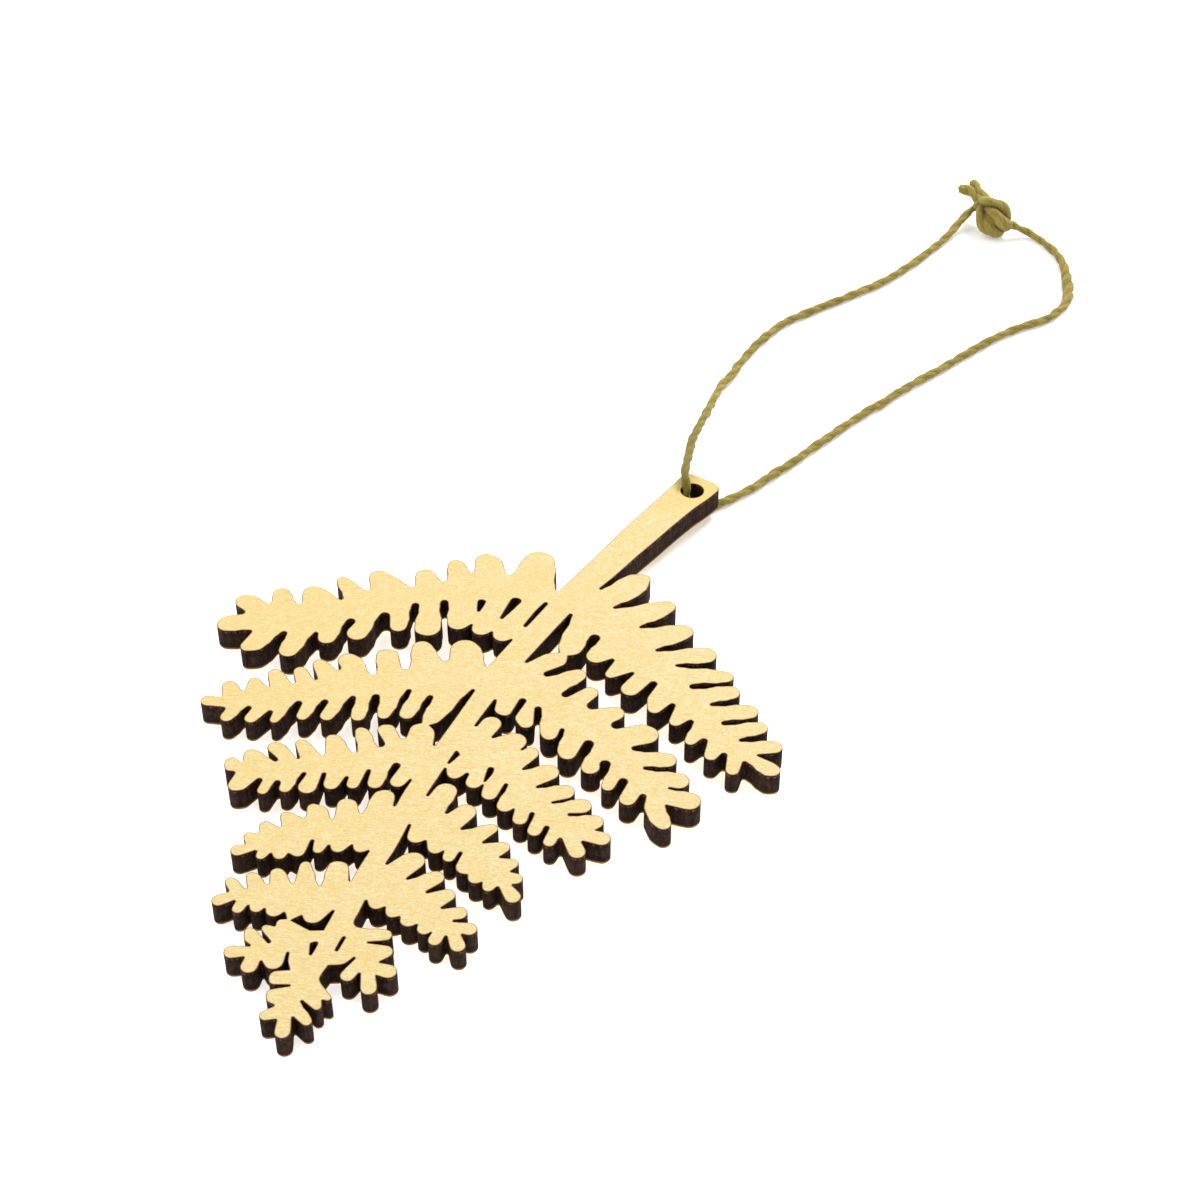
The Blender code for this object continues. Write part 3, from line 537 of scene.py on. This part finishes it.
def tie_knot(material):
    """Both strands pulled into one knot, and the two cut ends beyond it."""
    bm = new_twine_mesh()
    # closeness of the strands, which the yarn's finish turns into painted crevice shade
    pressed = bm.verts.layers.float.new("pressed")
    chance = random.Random(3)
    bmesh.ops.create_icosphere(bm, subdivisions=3, radius=MM)
    bmesh.ops.scale(bm, vec=(1.8, 2.1, 1.8), verts=bm.verts)
    laid = []
    for number, (strand, thick) in enumerate(KNOT_STRANDS):
        run = evenly(smooth_route([Vector(p) for p in strand], 8), 0.16)
        twist_into(bm, run, 2.0 + number, thick, KNOT_PITCH, (0.6, 0.6))
        laid.append((number, run, thick * 0.9))
    paint_crevice_shade(bm, pressed, laid)
    for number, points in enumerate(KNOT_TAILS):
        tail = evenly(smooth_route(points, 8), STEP)
        twist_into(bm, tail, 5.0 + number * 3.0, TAIL_THICK)
        ahead = (tail[-1] - tail[-2]).normalized()
        for _ in range(TAIL_HAIRS):
            out = Vector((chance.uniform(-1, 1), chance.uniform(-1, 1), chance.uniform(-1, 1)))
            out = (out - ahead * out.dot(ahead)).normalized()
            hair_into(bm, tail[-1] + out * chance.uniform(0.05, 0.42),
                      ahead + out * chance.uniform(0.05, 0.45), chance.uniform(0.25, 0.6), 0.035)
    bmesh.ops.translate(bm, vec=Vector(KNOT) * MM, verts=bm.verts)
    rest_on_table(bm)
    knot = new_piece("overhand_knot", bm, [material])
    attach(knot, "root")
    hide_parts("twine_knot")
    return knot


# ---------------------------------------------------------------- frond

def flat_frond():
    """The frond's rims as closed loops of flat points, and the turn that lays the sheet level."""
    bm = bmesh.new()
    bm.from_mesh(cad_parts["fern_plate"].data)
    bmesh.ops.remove_doubles(bm, verts=bm.verts, dist=1e-6)
    bm.normal_update()
    up = Vector((0, 0, 0))
    for face in bm.faces:
        if face.normal.z > 0.99:
            up += face.normal * face.calc_area()
    up.normalize()
    level = up.rotation_difference(Vector((0, 0, 1))).to_matrix().to_4x4()
    bmesh.ops.transform(bm, matrix=level, verts=bm.verts)
    bm.normal_update()
    show = [f for f in bm.faces if f.normal.z > 0.99]
    base = min(v.co.z for v in bm.verts)
    follow = {}
    for face in show:
        for loop in face.loops:
            if loop.link_loop_radial_next.face.normal.z < 0.5:
                follow[loop.vert] = loop.link_loop_next.vert
    loops = []
    while follow:
        first = next(iter(follow))
        ring = [first]
        while follow[ring[-1]] is not first:
            ring.append(follow[ring[-1]])
        for vert in ring:
            follow.pop(vert)
        loops.append([Vector((v.co.x, v.co.y)) for v in ring])
    bm.free()
    return loops, base, level, up


def round_off(ring):
    """Finer points on a rim: its curved stretches are divided along a smooth curve."""
    count = len(ring)
    edges = [ring[(i + 1) % count] - ring[i] for i in range(count)]
    turns = [abs(edges[i - 1].angle_signed(edges[i], 0.0)) for i in range(count)]
    slope = [(ring[(i + 1) % count] - ring[i - 1]).normalized() for i in range(count)]
    out = []
    for i in range(count):
        j = (i + 1) % count
        turn = math.degrees(max(turns[i], turns[j]))
        parts = 1 if turn < 6 else 2 if turn < 16 else 3 if turn < 30 else 4
        if edges[i].length < 0.05 * MM:
            parts = 1
        a, b, ta, tb = ring[i], ring[j], slope[i] * edges[i].length, slope[j] * edges[i].length
        for k in range(parts):
            t = k / parts
            out.append(a * (2 * t ** 3 - 3 * t ** 2 + 1) + ta * (t ** 3 - 2 * t ** 2 + t)
                       + b * (3 * t ** 2 - 2 * t ** 3) + tb * (t ** 3 - t ** 2))
    return out


def stepped_in(ring, inset):
    """The rim moved into the wood by inset. Rims run with the wood on their left."""
    out = []
    count = len(ring)
    for i in range(count):
        a = (ring[i] - ring[i - 1]).normalized()
        b = (ring[(i + 1) % count] - ring[i]).normalized()
        inward = Vector((-a.y - b.y, a.x + b.x))
        if inward.length < 1e-6:
            inward = Vector((-a.y, a.x))
        inward.normalize()
        reach = max(0.6, inward.dot(Vector((-b.y, b.x))))
        out.append(ring[i] + inward * inset / reach)
    return out


# height above the underside and step into the wood, from the show face down to the back
RIM_STEPS = [(SHEET, SCORCH), (SHEET, RIM_ROUND), (2.985, 0.015), (2.95, 0.0), (2.85, 0.0),
             (2.0, 0.006), (1.0, 0.0), (0.15, 0.0), (0.05, 0.0), (0.015, 0.015),
             (0.0, RIM_ROUND), (0.0, SCORCH)]


def cut_frond(face_material, edge_material, loops, base, level):
    """The sheet with softened, scorched rims and straight burnt walls."""
    bm = bmesh.new()
    scorch = bm.verts.layers.float.new("scorch")
    rims = []
    for ring in loops:
        ring = round_off(ring)
        tracks = [[(p.x, p.y, base + height * MM) for p in stepped_in(ring, inset * MM)]
                  for height, inset in RIM_STEPS]
        verts = [bm.verts.new(p) for p in tracks[0]]
        edges = [bm.edges.new((verts[i], verts[(i + 1) % len(verts)])) for i in range(len(verts))]
        rims.append((verts, edges, tracks))
    filled = bmesh.ops.triangle_fill(bm, edges=[e for _, edges, _ in rims for e in edges],
                                     use_beauty=True, normal=(0, 0, 1))["geom"]
    caps = [g for g in filled if isinstance(g, bmesh.types.BMFace)]
    backs = bmesh.ops.duplicate(bm, geom=caps)
    lower = backs["vert_map"]
    for verts, edges, tracks in rims:
        for vert, spot in zip(verts, tracks[-1]):
            lower[vert].co = spot
        around = edges
        ring = verts
        for step in range(1, len(tracks) - 1):
            grown = bmesh.ops.extrude_edge_only(bm, edges=around)["geom"]
            around = [g for g in grown if isinstance(g, bmesh.types.BMEdge)]
            ring = follow_up(ring, around)
            for vert, spot in zip(ring, tracks[step]):
                vert.co = spot
                vert[scorch] = 1.0
        for i, vert in enumerate(ring):
            j = (i + 1) % len(ring)
            bm.faces.new((vert, ring[j], lower[verts[j]], lower[verts[i]]))
    bmesh.ops.recalc_face_normals(bm, faces=bm.faces)
    bm.normal_update()
    for face in bm.faces:
        face.smooth = True
        face.material_index = 0 if abs(face.normal.z) > 0.9 else 1
    bmesh.ops.transform(bm, matrix=level.inverted(), verts=bm.verts)
    frond = new_piece("fern_frond", bm, [face_material, edge_material])
    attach(frond, "root")
    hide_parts("fern_plate")


def follow_up(ring, around):
    """The new ring's points in the same order as the ring they grew from."""
    fresh = {v for e in around for v in e.verts}
    out = []
    for vert in ring:
        for edge in vert.link_edges:
            other = edge.other_vert(vert)
            if other in fresh:
                out.append(other)
                break
    return out


# ---------------------------------------------------------------- the object

look_from((96.938, -169.381, 188.163), (0.896602, 0.442683, 0.011654),
          (0.297105, -0.581820, -0.757109), (-0.328379, 0.682288, -0.653185), 69.915)

twine_finish = olive_twine("olive_twine", 1.0, 0.55)
knot_finish = olive_twine("olive_knot", 1.02)
arms = lay_arms(twine_finish)
knot = tie_knot(knot_finish)
for arm, points in arms:
    run = sum((b - a).length for a, b in zip(points, points[1:])) * MM
    tuple(points[0] * MM)
    [tuple(p * MM) for p in points[::8] + [points[-1]]]

loops, base, level, up = flat_frond()
cut_frond(birch_face(), charred_edge(up, base), loops, base, level)

bm = bmesh.new()
bmesh.ops.create_grid(bm, x_segments=1, y_segments=1, size=3.0)
table = new_piece("table", bm, [table_top()])

world = bpy.data.worlds.new("studio")
bpy.context.scene.world = world
world.use_nodes = True
world.node_tree.nodes["Background"].inputs["Color"].default_value = (1.0, 1.0, 1.0, 1.0)
world.node_tree.nodes["Background"].inputs["Strength"].default_value = 0.78
softbox("key_softbox", (0.12, 0.9, 0.8), (0.0, 0.04, 0.0), 0.4, 12.5)
softbox("fill_softbox", (-0.6, -0.1, 0.8), (0.0, 0.04, 0.0), 0.6, 3.0)
bpy.context.scene.view_settings.view_transform = "Standard"
